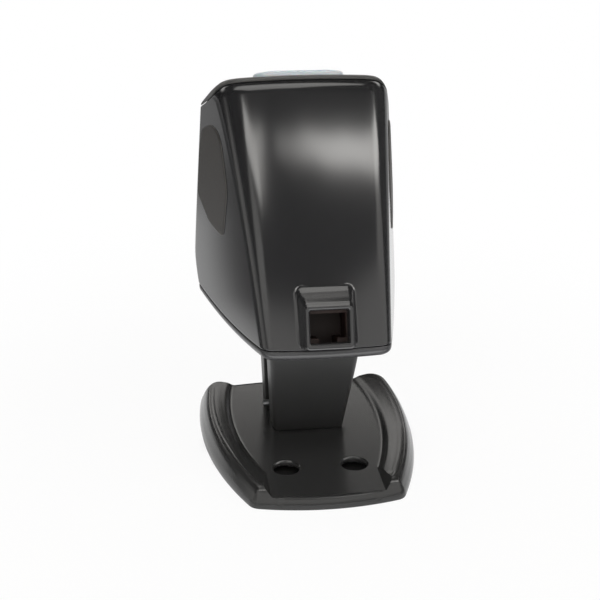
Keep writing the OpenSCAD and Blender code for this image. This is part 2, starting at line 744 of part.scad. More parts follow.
// The drafted opening in the rim at the back
module lip_cut(grow) {
    translate([0, 80, 0]) rotate([90, 0, 0]) linear_extrude(height = 60)
        polygon([
            [-lip_hw - grow, floor_z - eps], [lip_hw + grow, floor_z - eps],
            [lip_hw + grow + 4.4, floor_z + 4.8], [lip_hw + grow + 4.4, 20],
            [-lip_hw - grow - 4.4, 20], [-lip_hw - grow - 4.4, floor_z + 4.8]
        ]);
}
hole_y = base_back_y - hole_from_back;
cup_r = hole_head_r + 1.7;
cup_floor_z = 1.8;
flange_w = 34;
flange_d = 30;
screw_x = base_hw - 7.2;
screw_places = [for (x = [screw_x, -screw_x], y = [base_back_y - 34.4, base_front_y + 16]) [x, y]];
neck_screws = [for (x = [-7.5, 7.5], y = [5.6, -8.2]) [x, neck_foot_y + y]];
spine_y = -1.8;
spine_edge = 0.9;
spine_hw = neck_foot_hw + flare_at(spine_y - spine_t / 2) - spine_edge;
spine_low_y = neck_y(foot_h) + (spine_y - spine_t / 2) / cos(neck_lean);
spine_high_y = neck_y(floor_z) + (spine_y + spine_t / 2) / cos(neck_lean);
module base_shell() {
    color("#303033") difference() {
        union() {
            difference() {
                rim_block(0, 0);
                bowl(0, 0);
                lip_cut(0);
                translate([0, 0, -1]) linear_extrude(height = 1 + floor_z - floor_t)
                    polygon(base_plan(skirt_wall));
                difference() {
                    rim_block(skirt_wall, 1.8);
                    bowl(2, 1.8);
                    translate([0, -2, -1.8]) lip_cut(2);
                }
            }
            for (x = [-1, 1])
                translate([x * hole_pitch / 2, hole_y, skirt_z])
                    cylinder(r = cup_r, h = floor_z - skirt_z - eps);
            for (at = screw_places)
                translate([at[0], at[1], foot_h + plate_t + eps]) cylinder(r = 2.6, h = 3.2);
            for (at = neck_screws)
                translate([at[0], at[1], floor_z - eps]) cylinder(r = 2.3, h = 2.2);
        }
        for (x = [-1, 1])
            translate([x * hole_pitch / 2, hole_y, -1]) {
                cylinder(r = hole_r, h = 20);
                translate([0, 0, 1 + cup_floor_z]) cylinder(r = hole_head_r, h = 20);
            }
        for (at = concat(screw_places, neck_screws))
            translate([at[0], at[1], 0]) cylinder(r = 1.25, h = foot_h + plate_t + 2.6);
        translate([-spine_hw - seat, spine_low_y - seat, 0])
            cube([2 * (spine_hw + seat), spine_high_y - spine_low_y + 2 * seat, 20]);
    }
}
module screw_cup(at) {
    translate([at[0], at[1], 0]) {
        cylinder(r = 1.35, h = 5);
        cylinder(r = 2.5, h = foot_h + 0.7);
    }
}
module base_plate() {
    color("#8d9094") difference() {
        translate([0, 0, foot_h]) linear_extrude(height = plate_t) polygon(base_plan(skirt_wall + 0.3));
        for (x = [-1, 1])
            translate([x * hole_pitch / 2, hole_y, 0]) cylinder(r = cup_r + 0.3, h = 5);
        translate([-flange_w / 2 - 0.3, neck_foot_y - flange_d / 2 - 0.3, 0])
            cube([flange_w + 0.6, flange_d + 0.6, 5]);
        for (at = screw_places) screw_cup(at);
    }
}
foot_places = [for (side = [1, -1])
    each [[side * (base_hw - 14.9), base_back_y - 15.4], [side * (base_hw - 12.2), base_front_y + 24]]];
module rubber_feet() {
    color("#1c1c1c") for (at = foot_places)
        translate([at[0], at[1], 0]) cylinder(r = foot_r, h = foot_h);
}
module plate_screws() {
    color("#8c9094") for (at = concat(screw_places, neck_screws))
        translate([at[0], at[1], foot_h + 0.1]) {
            cylinder(r = 2.3, h = 0.55);
            cylinder(r = 1.15, h = 4);
        }
}

// Half the width of the neck at a height over the desk
neck_wide_z = 42.7;
function neck_hw(z) = mix(neck_foot_hw, neck_top_hw, clamp01((z - floor_z) / (neck_wide_z - floor_z)));

function flare_at(v) = neck_flare * (neck_back - v) / (neck_back + neck_front);

// A level ring of the neck, which leans with it. It lies between two distances from the
// neck's middle plane and has one radius for its front corners and one for its back ones.
function neck_ring(z, shrink, front, back, r_front, r_back) =
    let (
        hw_f = neck_hw(z) + flare_at(front) - shrink,
        hw_b = neck_hw(z) + flare_at(back) - shrink,
        f = neck_y(z) + front / cos(neck_lean),
        b = neck_y(z) + back / cos(neck_lean),
        corners = [
            [hw_b - r_back, b - r_back, r_back, 90],
            [hw_f - r_front, f + r_front, r_front, 0],
            [-hw_f + r_front, f + r_front, r_front, -90],
            [-hw_b + r_back, b - r_back, r_back, 180]
        ]
    )
    [for (c = corners, i = [0:6])
        let (a = c[3] - 15 * i) [c[0] + c[2] * cos(a), c[1] + c[2] * sin(a), z]];
module neck_solid(shrink, front, back, r_front, r_back, top) {
    skin([for (z = [0, floor_z, neck_wide_z, top]) neck_ring(z, shrink, front, back, r_front, r_back)]);
}
module above(z) {
    translate([-50, -60, z]) cube([100, 120, 120]);
}
cover_top = hinge_z - knuckle_r - 0.5;
inner_r = 0.6;
pin_z = 10.3;
module pin_hole() {
    translate([-30, neck_y(pin_z) + spine_y, pin_z]) rotate([0, 90, 0])
        cylinder(r = cross_pin_r + fit, h = 60);
}
module neck_spine() {
    color("#3c3e42") difference() {
        union() {
            translate([-neck_top_hw, axle_world_y, hinge_z]) rotate([0, 90, 0])
                cylinder(r = knuckle_r, h = 2 * neck_top_hw);
            intersection() {
                above(foot_h + fit);
                neck_solid(spine_edge, spine_y - spine_t / 2, spine_y + spine_t / 2,
                    0.4, 0.4, hinge_z - 3);
            }
            translate([-flange_w / 2, neck_foot_y - flange_d / 2, foot_h + fit])
                cube([flange_w, flange_d, plate_t]);
        }
        translate([-30, axle_world_y, hinge_z]) rotate([0, 90, 0]) cylinder(r = axle_r + fit, h = 60);
        pin_hole();
        for (at = neck_screws) screw_cup(at);
    }
}
module neck_cover(front, back, r_front, r_back) {
    open_front = back == neck_back;
    difference() {
        intersection() {
            above(floor_z + seat);
            neck_solid(0, front, back, r_front, r_back, cover_top);
        }
        neck_solid(neck_wall, open_front ? front - 1 : front + neck_wall,
            open_front ? back - neck_wall : back + 1, inner_r, inner_r, cover_top - neck_wall);
        pin_hole();
    }
}
module neck_rear_cover() {
    color("#2c2c2f") neck_cover(spine_y + spine_t / 2 + groove_w, neck_back, inner_r, neck_edge_r);
}
module neck_front_cover() {
    color("#2c2c2f") neck_cover(-neck_front, spine_y - spine_t / 2 - groove_w, neck_edge_r, inner_r);
}
module neck_cross_pin() {
    reach = neck_foot_hw + 2.6;
    color("#6f7276") translate([-reach, neck_y(pin_z) + spine_y, pin_z]) rotate([0, 90, 0])
        cylinder(r = cross_pin_r, h = 2 * reach);
}

base_shell();
base_plate();
rubber_feet();
plate_screws();
neck_spine();
neck_rear_cover();
neck_front_cover();
neck_cross_pin();
back_shell();
top_cover();
bottom_tray();
left_grip();
right_grip();
front_bezel();
front_window();
window_gasket();
hinge_bracket();
tilt_axle();
friction_washers();
axle_nut();
chassis();
main_board();
jack_board();
modular_jack();
imager_board();
lens_barrel();
lens();
led_board();
leds();
button_board();
tact_switch();
buzzer();
case_screws();
top_button();
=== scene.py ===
# %% [markdown]
# This lesson dresses a desk barcode scanner: a wedge-shaped reading head that tilts on a leaning
# neck, over a base with raised rims. The solids come from the CAD model, which also says where
# everything is. The outer skins are made again here with many more points, because a lamp that
# is mirrored in a dark glossy shell shows every flat facet. Each skin is a formula worked out for
# whole arrays of points, so its size follows a few named values, as the CAD's does.

# %% Frame
import json

import bpy
import numpy as np
from mathutils import Matrix, Vector


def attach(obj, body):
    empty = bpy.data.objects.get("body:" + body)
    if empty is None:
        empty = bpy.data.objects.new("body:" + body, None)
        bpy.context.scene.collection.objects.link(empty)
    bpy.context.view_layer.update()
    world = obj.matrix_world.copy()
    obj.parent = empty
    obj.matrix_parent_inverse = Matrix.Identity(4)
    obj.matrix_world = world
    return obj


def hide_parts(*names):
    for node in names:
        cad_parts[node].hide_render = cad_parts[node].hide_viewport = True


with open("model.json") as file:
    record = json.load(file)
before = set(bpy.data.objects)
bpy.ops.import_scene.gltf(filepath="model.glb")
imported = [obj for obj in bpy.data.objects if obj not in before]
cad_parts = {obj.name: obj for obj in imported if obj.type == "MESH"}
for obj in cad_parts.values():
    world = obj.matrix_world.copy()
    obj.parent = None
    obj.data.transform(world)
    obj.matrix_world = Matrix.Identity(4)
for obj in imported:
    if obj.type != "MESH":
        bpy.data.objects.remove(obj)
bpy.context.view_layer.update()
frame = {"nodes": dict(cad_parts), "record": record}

# %% [markdown]
# The camera comes first, because every later choice is judged through it. It stands behind the
# scanner, a little to one side and well above it, with a long lens, so upright edges stay nearly
# parallel. Its place is written as a point and three directions, which fill a matrix in one step.

# %% Camera
MM = 0.001
SENSOR_MM, PHOTO_PX, FOCAL_PX = 36, 600, 1517.67
cam_data = bpy.data.cameras.new("camera")
cam_data.sensor_width = SENSOR_MM
cam_data.lens = FOCAL_PX / PHOTO_PX * SENSOR_MM
camera = bpy.data.objects.new("camera", cam_data)
bpy.context.scene.collection.objects.link(camera)
right = Vector((-0.98845, 0.15060, 0.01694))
up = Vector((-0.04602, -0.40477, 0.91326))
back = Vector((0.14439, 0.90193, 0.40702))
place = Vector((0.07828, 0.46546, 0.26390))
camera.matrix_world = Matrix.Translation(place) @ Matrix((right, up, back)).transposed().to_4x4()
bpy.context.scene.camera = camera
bpy.context.scene.view_settings.view_transform = "Standard"
print("lens", round(cam_data.lens, 2), "mm")

# %% [markdown]
# Three helpers turn arrays into meshes. A skin is a stack of closed rings of points: each ring is
# joined to the next by four-sided faces, and the two ends are closed by a fan, or joined to each
# other when the wall has an inside as well. Shading is smooth except where two faces meet sharply.
# A cut leaves some large many-sided faces. Those are shaded flat, so they don't show false slopes.

# %% Mesh helpers
FLAT_AREA = 3e-6


def link_mesh(name, points, faces, sharp=38):
    """Points in metres and a list of index arrays become a smooth object at the origin."""
    mesh = bpy.data.meshes.new(name)
    mesh.from_pydata(points.tolist(), [], [f for block in faces for f in block.tolist()])
    mesh.validate()
    mesh.shade_smooth()
    mesh.set_sharp_from_angle(angle=np.radians(sharp))
    obj = bpy.data.objects.new(name, mesh)
    bpy.context.scene.collection.objects.link(obj)
    return obj


def ring_stack(name, grid, tube=False, sharp=38):
    """Rings in rows, clockwise seen from above: row k meets row k + 1, and point i meets i + 1."""
    rows, cols = grid.shape[:2]
    k = np.arange(rows if tube else rows - 1)[:, None]
    i = np.arange(cols)[None, :]
    j = (i + 1) % cols
    u = (k + 1) % rows
    faces = [np.stack([k * cols + i, u * cols + i, u * cols + j, k * cols + j], -1).reshape(-1, 4)]
    points = grid.reshape(-1, 3)
    if not tube:
        ends = np.stack([grid[0].mean(0), grid[-1].mean(0)])
        points = np.concatenate([points, ends])
        n = rows * cols
        i, j = i[0], j[0]
        faces.append(np.stack([np.full(cols, n), i, j], -1))
        faces.append(np.stack([np.full(cols, n + 1), n - cols + j, n - cols + i], -1))
    return link_mesh(name, points, faces, sharp)


def carve(obj, cutters, sharp=38):
    """The object less its cutters, written into its own mesh; faces over FLAT_AREA are flat."""
    for cutter in cutters:
        cut = obj.modifiers.new("cut", "BOOLEAN")
        cut.operation = "DIFFERENCE"
        cut.solver = "EXACT"
        cut.object = cutter
    graph = bpy.context.evaluated_depsgraph_get()
    mesh = bpy.data.meshes.new_from_object(obj.evaluated_get(graph))
    obj.modifiers.clear()
    obj.data = mesh
    mesh.shade_smooth()
    mesh.set_sharp_from_angle(angle=np.radians(sharp))
    area = np.empty(len(mesh.polygons))
    mesh.polygons.foreach_get("area", area)
    mesh.polygons.foreach_set("use_smooth", area < FLAT_AREA)
    for cutter in cutters:
        bpy.data.objects.remove(cutter)


def report(obj):
    print(obj.name, len(obj.data.polygons), "faces")


# %% [markdown]
# Seen from above, the head and the base are both outlines of arcs that touch smoothly: back,
# corner, side, corner, front. Two circles give the middle of each corner arc, where they cross.
# An inset shortens every radius, so the same function also gives inner walls and rounded edges.

# %% Outlines made of arcs
LEAST_R = 0.3


def mix(a, b, t):
    """From a at t = 0 to b at t = 1."""
    return a + (b - a) * t


def crossing(c1, r1, c2, r2, pick):
    """Where two circles cross: along the line of centres by a, then off it by h to one side."""
    d = c2 - c1
    length = np.linalg.norm(d, axis=-1, keepdims=True)
    a = (r1 * r1 - r2 * r2 + length * length) / (2 * length)
    h = np.sqrt(np.maximum(0, r1 * r1 - a * a))
    n = np.stack([-d[..., 1], d[..., 0]], -1) / length
    p, q = c1 + a * d / length + h * n, c1 + a * d / length - h * n
    return np.where(pick * (p[..., 1:] - q[..., 1:]) > 0, p, q)


def arc(c, r, a, b, n, skip=1):
    """Points on a circle from angle a to angle b, both in radians, one row for each level."""
    t = np.linspace(0, 1, n + 1)[skip:]
    w = a + (b - a) * t
    return np.stack([c[..., :1] + r * np.cos(w), c[..., 1:] + r * np.sin(w)], -1)


def outline(back, back_r, corner_r, side_c, side_r, fcorner_r, front, front_r, inset,
            counts=(22, 12, 54, 8, 22)):
    """Five arcs from the middle of the back round to the middle of the front, and their mirror."""
    levels = len(np.atleast_1d(inset))
    column = lambda v: np.atleast_1d(np.asarray(v, float))[:, None] + np.zeros((levels, 1))
    back, corner_r, fcorner_r, front, inset = map(column, (back, corner_r, fcorner_r, front, inset))
    r1, r2 = np.maximum(corner_r, inset + LEAST_R), np.maximum(fcorner_r, inset + LEAST_R)
    cb = np.concatenate([0 * back, back - back_r], 1)
    cf = np.concatenate([0 * front, front + front_r], 1)
    cs = np.array([side_c]) + 0 * cb
    c1 = crossing(cb, back_r - r1, cs, side_r - r1, 1)
    c2 = crossing(cf, front_r - r2, cs, side_r - r2, -1)
    angle = lambda v: np.arctan2(v[:, 1:], v[:, :1])
    a1, a2, a3, a4 = angle(c1 - cb), angle(c1 - cs), angle(c2 - cs), angle(c2 - cf)
    half = np.concatenate([
        arc(cb, back_r - inset, np.pi / 2, a1, counts[0], 0),
        arc(c1, r1 - inset, a1, a2, counts[1]),
        arc(cs, side_r - inset, a2, a3, counts[2]),
        arc(c2, r2 - inset, a3, a4, counts[3]),
        arc(cf, front_r - inset, a4, -np.pi / 2, counts[4]),
    ], 1)
    return np.concatenate([half, half[:, -2:0:-1] * [-1, 1]], 1)


sample = outline(0, 120, 5, (-1900, -36), 2000, 3, -72, 220, 0)
print("points in one outline", sample.shape[1])

# %% [markdown]
# The head is worked out upright, in its own millimetres, and only then tipped forward and set on
# the tilt axle. Its lower seam climbs towards the front, its upper seam falls towards the sides,
# and a level t from 0 to 1 runs between them. Back, front and corner radius each change with t.
# The back leans in, bulges a little and rolls over at its top. The front leans in above a chin.

# %% The head's form
HEAD_H, COVER_H, TRAY_H, WALL = 93.6, 2.0, 3.7, 2.2
HEAD_HW, BACK_HW, HEAD_D = 37.8, 20.6, 72.0
BACK_R, SIDE_R, FRONT_R, FRONT_CORNER_R = 120.0, 2000.0, 220.0, 2.8
TILT = np.radians(20.5)
AXLE_Y, AXLE_Z = 7.3, 56
AXLE_FORWARD, AXLE_UP = 26.5, 17.2
SEAM_CLIMB, SEAM_BOW = np.radians(10.8), 526
CROWN_BOW, FALL, FALL_AT = 1360, 6.2, 30.1
BACK_LEAN, BACK_BULGE = 27.8, 9.6
ROLL_R, ROLL_SHARE = 5.0, 0.85
ROLL_START = 1 - ROLL_SHARE * ROLL_R / (HEAD_H - COVER_H - TRAY_H)
FRONT_LEAN, CHIN_IN, CHIN = 13.5, 3.0, 0.17
BELLY_R, SHOULDER_R = 5.0, 13.0
taper = np.arctan((HEAD_HW - BACK_HW) / HEAD_D)
side_way = np.array([np.cos(taper), np.sin(taper)])
side_mid = np.array([(BACK_HW + HEAD_HW) / 2, -HEAD_D / 2])
SIDE_C = side_mid - SIDE_R * side_way


def seam_low(y):
    """Height of the seam above the tray, which climbs towards the front."""
    return TRAY_H - np.tan(SEAM_CLIMB) * y + y * y / SEAM_BOW


def seam_high(x):
    """Height of the seam under the cover: a flat arch that falls away near the sides."""
    u = np.maximum(np.abs(x), 1)
    return HEAD_H - COVER_H - u * u / CROWN_BOW - FALL / (1 + (FALL_AT / u) ** 20)


def back_at(t):
    """Where the back lies at level t."""
    u = ROLL_SHARE * ROLL_R * np.clip((t - ROLL_START) / (1 - ROLL_START), 0, 1)
    return -BACK_LEAN * t + BACK_BULGE * t * (1 - t) - (ROLL_R - np.sqrt(ROLL_R ** 2 - u * u))


def front_at(t):
    """Where the front lies at level t."""
    high = FRONT_LEAN * (np.maximum(t - CHIN, 0) / (1 - CHIN)) ** 1.15
    low = CHIN_IN * (np.maximum(CHIN - t, 0) / CHIN) ** 2
    return -HEAD_D + high + low


def corner_at(t):
    """Radius of the back corner, which grows from the belly to the shoulder."""
    return mix(BELLY_R, SHOULDER_R, np.clip(t, 0, 1) ** 1.4)


def head_plan(t, inset):
    """The head's outline at level t, shrunk by an inset."""
    return outline(back_at(t), BACK_R, corner_at(t), SIDE_C, SIDE_R, FRONT_CORNER_R,
                   front_at(t), FRONT_R, inset)


def body_rings(t, inset, lift):
    """Outline at level t, shrunk by an inset, each point at its own height plus a lift."""
    t, inset, lift = (np.asarray(v, float) for v in (t, inset, lift))
    plan = head_plan(t, inset)
    z = mix(seam_low(plan[..., 1]), seam_high(plan[..., 0]), t[:, None]) + lift[:, None]
    return np.concatenate([plan, z[..., None]], -1)


def place_head(p):
    """Head millimetres to the scanner's metres: tip forward about the axle, then move onto it."""
    y, z = p[..., 1] + AXLE_FORWARD, p[..., 2] - AXLE_UP
    c, s = np.cos(TILT), np.sin(TILT)
    return np.stack([p[..., 0], AXLE_Y + y * c - z * s, AXLE_Z + y * s + z * c], -1) * MM


print("back at foot and top", round(float(back_at(0.0)), 2), round(float(back_at(1.0)), 2), "mm")

# %% [markdown]
# The back surface and the side surface are also needed the other way round: how far back or out
# is the skin at a given height? The level t depends on the answer, so a guess is improved a few
# times, which settles to far less than a hair.

# %% The skin at a given place
TRIES = 8


def back_y(x, z):
    """How far back the skin lies at x and z, on the back arc."""
    y = -5.0 + 0 * (x + z)
    for _ in range(TRIES):
        t = (z - seam_low(y)) / (seam_high(x) - seam_low(y))
        y = back_at(t) - BACK_R + np.sqrt(BACK_R ** 2 - x * x)
    return y


def side_x(y, z):
    """How far out the skin lies at y and z, on the side arc or on the back corner."""
    x = BACK_HW - 0.2 * y
    for _ in range(TRIES):
        t = np.clip((z - seam_low(y)) / (seam_high(x) - seam_low(y)), 0, 1)
        r = corner_at(t).ravel()[:, None]
        cb = np.stack([0 * t.ravel(), back_at(t).ravel() - BACK_R], -1)
        cs = SIDE_C[None] + 0 * cb
        c1 = crossing(cb, BACK_R - r, cs, SIDE_R - r, 1)
        cx, cy = c1[:, 0].reshape(y.shape), c1[:, 1].reshape(y.shape)
        r = r.reshape(y.shape)
        flat = SIDE_C[0] + np.sqrt(SIDE_R ** 2 - (y - SIDE_C[1]) ** 2)
        touch = cy + r * np.sin(np.arctan2(cy - SIDE_C[1], cx - SIDE_C[0]))
        bend = cx + np.sqrt(np.maximum(r * r - (y - cy) ** 2, 0))
        x = np.where(y > touch, bend, flat)
    return x


at_grip = float(side_x(np.array([-45.0]), np.array([62.0]))[0])
print("side at the grip's middle", round(at_grip, 2), "mm")

# %% [markdown]
# The housing is one moulding with a wall all round, so its rings go up the outside, over a small
# round at the top seam, and down the inside. The extra rings close to each seam make those small
# rounds, which catch the light as thin bright lines on the real shell.

# %% Housing
MID_WALL = 1.2
span = np.concatenate([
    [0, 0.0012, 0.003, 0.006], np.linspace(0.01, ROLL_START - 0.01, 84),
    np.linspace(ROLL_START, 0.994, 16), [0.9965, 0.9985, 1.0],
])
edge = np.zeros_like(span)
edge[:3] = [0.35, 0.12, 0.03]
edge[-3:] = [0.04, 0.14, 0.38]
inside = np.array([1, 0.95, 0.8, 0.55, 0.3, 0.17, 0.08, 0])
rings = np.concatenate([
    body_rings([0.0], [MID_WALL], [0.0]),
    body_rings(span, edge, 0 * span),
    body_rings([1.0], [MID_WALL], [0.0]),
    body_rings(inside, WALL + 0 * inside, 0 * inside),
])
housing = ring_stack("housing_shell", place_head(rings), tube=True)
report(housing)

# %% [markdown]
# A grip's outline is drawn on the side of the head, as five circles with a band stretched round
# them. The same outline, carried along the side surface, gives both the shallow recess in the
# housing and the pad that lies in it, so the two always match.

# %% Grip outline
# Each circle is (distance forward, height, radius).
GRIP = np.array([[44.5, 66, 13], [42, 56, 13], [36.5, 43.5, 3.5], [57, 56, 3], [50.5, 75, 3.5]])
RECESS_DEPTH, RECESS_MOUTH, CLEAR = 1.2, 0.55, 2


def grip_edge(grow, n=240):
    """Furthest point in each direction round the circles: the outline of their stretched band."""
    a = np.linspace(0, 2 * np.pi, n, endpoint=False)
    d = np.stack([np.cos(a), np.sin(a)], -1)
    reach = GRIP[:, :2] @ d.T + (GRIP[:, 2] + grow)[:, None]
    h = reach.max(0)
    slope = (np.roll(h, -1) - np.roll(h, 1)) / (2 * (a[1] - a[0]))
    n_dir = np.stack([-d[:, 1], d[:, 0]], -1)
    return h[:, None] * d + slope[:, None] * n_dir


def grip_stack(name, layers, sign):
    """Each layer is (grow, share, lift): an outline, drawn in to a share, lifted off the side."""
    middle = GRIP[:, :2].mean(0)
    rows = []
    for grow, share, lift in layers:
        sz = middle + (grip_edge(grow) - middle) * share
        y, z = -sz[:, 0], sz[:, 1]
        rows.append(np.stack([sign * (side_x(y, z) + lift), y, z], -1))
    grid = np.stack(rows)
    if sign > 0:
        grid = grid[:, ::-1]
    return ring_stack(name, place_head(grid))


def grip_recess(sign):
    """The recess as a cutter: flat below, opening at the surface, and closed well outside it."""
    wide = np.linspace(0.2, 1, 12)
    layers = [(0.1, s, -RECESS_DEPTH) for s in wide]
    layers += [(0.1, 1, -0.4), (0.2, 1, -0.12), (0.5, 1, 0.05), (RECESS_MOUTH, 1, CLEAR)]
    layers += [(RECESS_MOUTH, s, CLEAR) for s in wide[::-1]]
    return grip_stack("recess", layers, sign)


print("grip outline spans", np.ptp(grip_edge(0), axis=0).round(1), "mm")

# %% [markdown]
# The port, the window and the recesses are cut out of the housing with solids that are thrown
# away afterwards. A plain prism with rounded corners is enough for the two openings.

# %% Cut the housing
def rounded_loop(hw, hh, r, n=8):
    """A rectangle with round corners, clockwise from its upper right corner."""
    cx = np.array([hw - r, hw - r, r - hw, r - hw])
    cy = np.array([hh - r, r - hh, r - hh, hh - r])
    start = np.array([np.pi / 2, 0, -np.pi / 2, np.pi])
    a = start[:, None] - np.linspace(0, np.pi / 2, n)[None]
    return np.stack([cx[:, None] + r * np.cos(a), cy[:, None] + r * np.sin(a)], -1).reshape(-1, 2)


PORT_Z = 11.3


def port_prism(name, hw, hh, r, y0, y1, z_mid=PORT_Z):
    """A cutter that runs from y0 to y1 through the back."""
    loop = rounded_loop(hw, hh, r)
    row = lambda y: np.stack([loop[:, 0], 0 * loop[:, 0] + y, loop[:, 1] + z_mid], -1)
    grid = np.stack([row(y0), row(y1)])
    return ring_stack(name, place_head(grid[::-1]))


WINDOW_LEVEL = 0.56
seam_top = HEAD_H - COVER_H
front_s = -float(front_at(WINDOW_LEVEL))
front_z = mix(float(seam_low(-front_s)), seam_top, WINDOW_LEVEL)
chin_z = mix(float(seam_low(-HEAD_D)), seam_top, CHIN)
front_angle = np.arctan(FRONT_LEAN / (seam_top - chin_z))


def on_front(p):
    """A point over the window's plane: x across, y up the glass, z out of it."""
    c, s = np.cos(np.pi / 2 - front_angle), np.sin(np.pi / 2 - front_angle)
    y, z = p[..., 1] * c - p[..., 2] * s, p[..., 1] * s + p[..., 2] * c
    return np.stack([p[..., 0], y - front_s, z + front_z], -1)


def front_prism(name, hw, hh, r, z0, z1):
    """A cutter that stands on the window's plane, from z0 behind it to z1 before it."""
    loop = rounded_loop(hw, hh, r)
    row = lambda z: np.stack([loop[:, 0], loop[:, 1], 0 * loop[:, 0] + z], -1)
    return ring_stack(name, place_head(on_front(np.stack([row(z0), row(z1)]))))


carve(housing, [
    grip_recess(1), grip_recess(-1),
    port_prism("port", 6.9, 5.9, 0.5, -20, 10),
    front_prism("window", 28, 21, 5, -12, 18),
])
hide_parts("back_shell")
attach(housing, "head")
report(housing)

# %% [markdown]
# A pad is smaller than its recess, which leaves a groove of about a millimetre round it. Its rim
# is rounded, and its face stands a little proud of the housing.

# %% Grip pads
PAD_IN, PAD_UNDER, PAD_PROUD = 0.7, 1.15, 0.45
shares = np.linspace(0.1, 1, 30)
low = [(-PAD_IN, s, -PAD_UNDER) for s in shares]
rim = [(-PAD_IN, 1, -0.3), (-PAD_IN, 1, 0.08), (-0.76, 1, 0.24), (-0.9, 1, 0.36), (-1.1, 1, 0.43)]
top = [(-2 * PAD_IN, s, PAD_PROUD) for s in shares[::-1]]
for side, name in ((1, "left_grip"), (-1, "right_grip")):
    pad = grip_stack(name + "_pad", low + rim + top, side)
    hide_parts(name)
    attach(pad, "head")
    report(pad)

# %% [markdown]
# A hood stands out of the back round the cable's port. It is a stack of rounded rectangles that
# grow from the port's frame back onto the leaning wall, and the last ones flare out and sink into
# it, so the joint has the soft round of a moulding. Inside, a bevel leads down into the opening.

# %% Port hood
HOOD_FACE, HOOD_FOOT = 4.0, 3.97


def hood_row(u, hw, low, high, r, y=None):
    """A rounded rectangle whose depth goes from the hood's face, u = 0, to the wall, u = 1."""
    loop = rounded_loop(hw, (high - low) / 2, r, 10)
    x, z = loop[:, 0], loop[:, 1] + (high + low) / 2
    depth = mix(HOOD_FACE, back_y(x, z), u) if y is None else 0 * x + y
    return np.stack([x, depth, z], -1)


rows = [hood_row(0, 6.3, 6.0, 16.6, 0.5, -1.0), hood_row(0, 6.3, 6.0, 16.6, 0.5, 3.3),
        hood_row(0, 6.45, 5.85, 16.75, 0.6, 3.62), hood_row(0, 6.75, 5.55, 17.05, 0.8, 3.9),
        hood_row(0, 6.95, 5.3, 17.25, 0.9), hood_row(0, 7.35, 4.6, 17.65, 1.1),
        hood_row(0.02, 7.58, 4.2, 17.88, 1.2), hood_row(0.07, 7.68, 4.0, 17.98, 1.3)]
for u in np.linspace(0.14, 0.84, 9):
    rows.append(hood_row(u, mix(7.7, 9.3, u), HOOD_FOOT, mix(18.0, 23.2, u), mix(1.3, 2.0, u)))
for u, grow in ((0.9, 0.1), (0.95, 0.3), (0.985, 0.7), (1.0, 1.2), (1.012, 1.9), (1.05, 2.0)):
    rows.append(hood_row(u, 9.15 + grow, HOOD_FOOT, 23.0 + 1.2 * grow, 2.0 + grow))
hood = ring_stack("port_hood", place_head(np.stack(rows)[:, ::-1]), tube=True, sharp=50)
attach(hood, "head")
report(hood)

# %% [markdown]
# The top cover is a thin crowned lid whose edge rolls down to the seam, and the tray below is a
# bowed pan with a broad round at its lower edge. Each is a stack of rings that starts in the
# middle, runs out to the edge, turns the corner and comes back, so both are closed solids.

# %% Cover and tray
def lid_rings(layers, mid_y, level, height):
    """Each layer is (share, inset, rise): an outline drawn towards the middle, then lifted."""
    rows = []
    for share, inset, rise in layers:
        plan = head_plan(level, np.array([inset]))[0]
        x, y = plan[:, 0] * share, mix(mid_y, plan[:, 1], share)
        rows.append(np.stack([x, y, height(x, y) + rise], -1))
    return np.stack(rows)


EDGE_IN = 0.12
one, zero = np.array([1.0]), np.array([0.0])
cover_mid = float(back_at(1.0) + front_at(1.0)) / 2
tray_mid = float(back_at(0.0) + front_at(0.0)) / 2
inward = np.linspace(0.1, 0.95, 12)
roll = np.radians(np.linspace(0, 90, 10))
layers = [(s, 3.5, 0.4) for s in inward] + [(1, 3.5, 0.4), (1, 3.5, -2), (1, 2.3, -2)]
layers += [(1, 2.3, 0.25), (1, 0.45, 0.25), (1, 0.2, 0.33), (1, EDGE_IN, 0.5)]
layers += [(1, EDGE_IN + 3.4 * (1 - np.cos(a)), 0.5 + 1.5 * np.sin(a)) for a in roll[1:]]
layers += [(s, EDGE_IN + 3.4, COVER_H) for s in np.linspace(0.97, 0.1, 30)]
lid = lid_rings(layers, cover_mid, one, lambda x, y: seam_high(x))
cover = ring_stack("top_lid", place_head(lid))

BUTTON_HW, BUTTON_HH, BUTTON_R, BUTTON_AT = 15.5, 7, 6, 45


def button_loop(grow):
    """The button's outline, grown on every side."""
    return rounded_loop(BUTTON_HW + grow, BUTTON_HH + grow, BUTTON_R + grow, 14)


def button_row(loop, z):
    """A loop carried over the button's middle, at height z."""
    return np.stack([loop[:, 0], loop[:, 1] - BUTTON_AT, 0 * loop[:, 0] + z], -1)


hole = [(0.3, 80), (0.3, 93.0), (0.36, 93.3), (0.55, 93.6), (0.6, 110)]
hole_rows = np.stack([button_row(button_loop(grow), z) for grow, z in hole])
carve(cover, [ring_stack("hole", place_head(hole_rows))])
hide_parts("top_cover")
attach(cover, "head")
report(cover)

